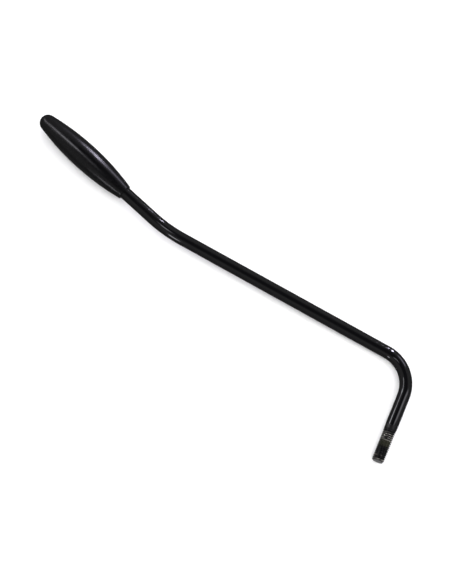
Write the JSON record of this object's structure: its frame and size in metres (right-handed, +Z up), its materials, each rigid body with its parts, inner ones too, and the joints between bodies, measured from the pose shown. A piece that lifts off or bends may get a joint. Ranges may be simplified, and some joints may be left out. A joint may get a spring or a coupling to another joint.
{
  "type": "guitar tremolo arm",
  "caption": "Bent steel tremolo arm with a short threaded leg, a tight elbow, a long slim arm and a smooth bullet-shaped push-on tip.",
  "frame": {"origin": "on the axis of the threaded leg, at the shoulder where the thread starts", "axes": "+Z up from the table the arm lies on; -Y along the leg towards its threaded end; the arm runs out along -X"},
  "size_m": [0.1749, 0.08, 0.0105],
  "materials": {
    "black_coated_steel": "gloss",
    "black_plastic": "gloss"
  },
  "bodies": {
    "arm": {"arm_rod": "black_coated_steel"},
    "tip": {"grip_tip": "black_plastic"}
  },
  "joints": [
    {"name": "tip_pull", "type": "slide", "parent": "arm", "child": "tip", "axis": [-0.9341, 0.3567, 0.0169], "range_m": [0, 0.03]}
  ]
}
